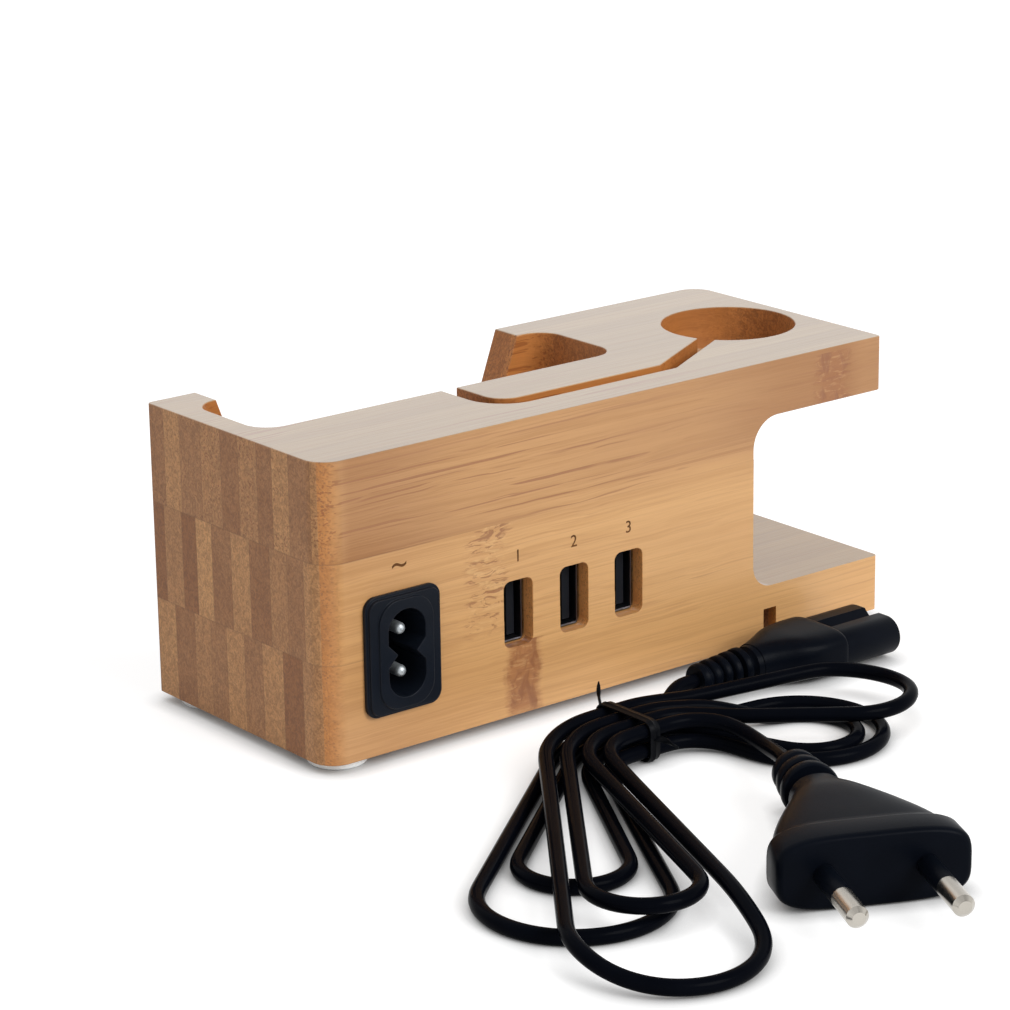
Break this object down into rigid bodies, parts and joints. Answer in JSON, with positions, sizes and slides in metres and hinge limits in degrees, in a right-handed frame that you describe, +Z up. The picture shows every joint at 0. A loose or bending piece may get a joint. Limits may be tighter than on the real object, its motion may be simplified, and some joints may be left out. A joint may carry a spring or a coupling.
{
  "type": "charging station organizer",
  "caption": "Bamboo desk dock with a phone pocket, watch charger arm, mains inlet and charging ports, with its tied mains cord set beside it.",
  "frame": {"origin": "centre of the base of the block with its inlet, on the surface it stands on", "axes": "+X along the block from the phone pocket's end to the free end of the watch arm, +Y from the rear face with the sockets to the face with the pocket's window, +Z up"},
  "size_m": [0.1655, 0.1889, 0.062],
  "materials": {
    "bamboo_base": "satin lacquer",
    "bamboo_middle": "satin lacquer",
    "bamboo_top": "satin lacquer",
    "steel": "zinc plated",
    "silicone": "matt, translucent white",
    "black_plastic": "fine moulded grain",
    "nickel": "nickel plated",
    "lead_insulation": "smooth",
    "circuit_board": "solder mask",
    "ferrite": "matt",
    "winding_tape": "smooth tape",
    "capacitor_sleeve": "printed sleeve without print",
    "ceramic": "glazed",
    "contact_metal": "plated",
    "cord_set_plastic": "soft satin",
    "cord_sheath": "glossy sheath",
    "tie_sheath": "matt"
  },
  "bodies": {
    "root": {"base_board": "bamboo_base", "middle_board": "bamboo_middle", "top_board": "bamboo_top", "bottom_cover": "bamboo_base", "cover_screws": "steel", "feet": "silicone", "inlet_housing": "black_plastic", "inlet_pins": "nickel", "inlet_leads": "lead_insulation", "mains_board": "circuit_board", "transformer_core": "ferrite", "transformer_winding": "winding_tape", "input_capacitor": "capacitor_sleeve", "output_capacitors": "capacitor_sleeve", "rectifier": "black_plastic", "fuse": "ceramic", "usb_board": "circuit_board", "usb_shell_left": "steel", "usb_shell_middle": "steel", "usb_shell_right": "steel", "usb_tongues": "black_plastic", "usb_contacts": "contact_metal", "connector_body": "cord_set_plastic", "connector_sockets": "contact_metal", "connector_relief": "cord_set_plastic", "cord_connector_lead": "cord_sheath", "cord_hank": "cord_sheath", "cord_plug_lead": "cord_sheath", "cord_tie": "tie_sheath", "plug_relief": "cord_set_plastic", "plug_body": "cord_set_plastic", "plug_sleeves": "black_plastic", "plug_pins": "nickel"}
  },
  "joints": []
}
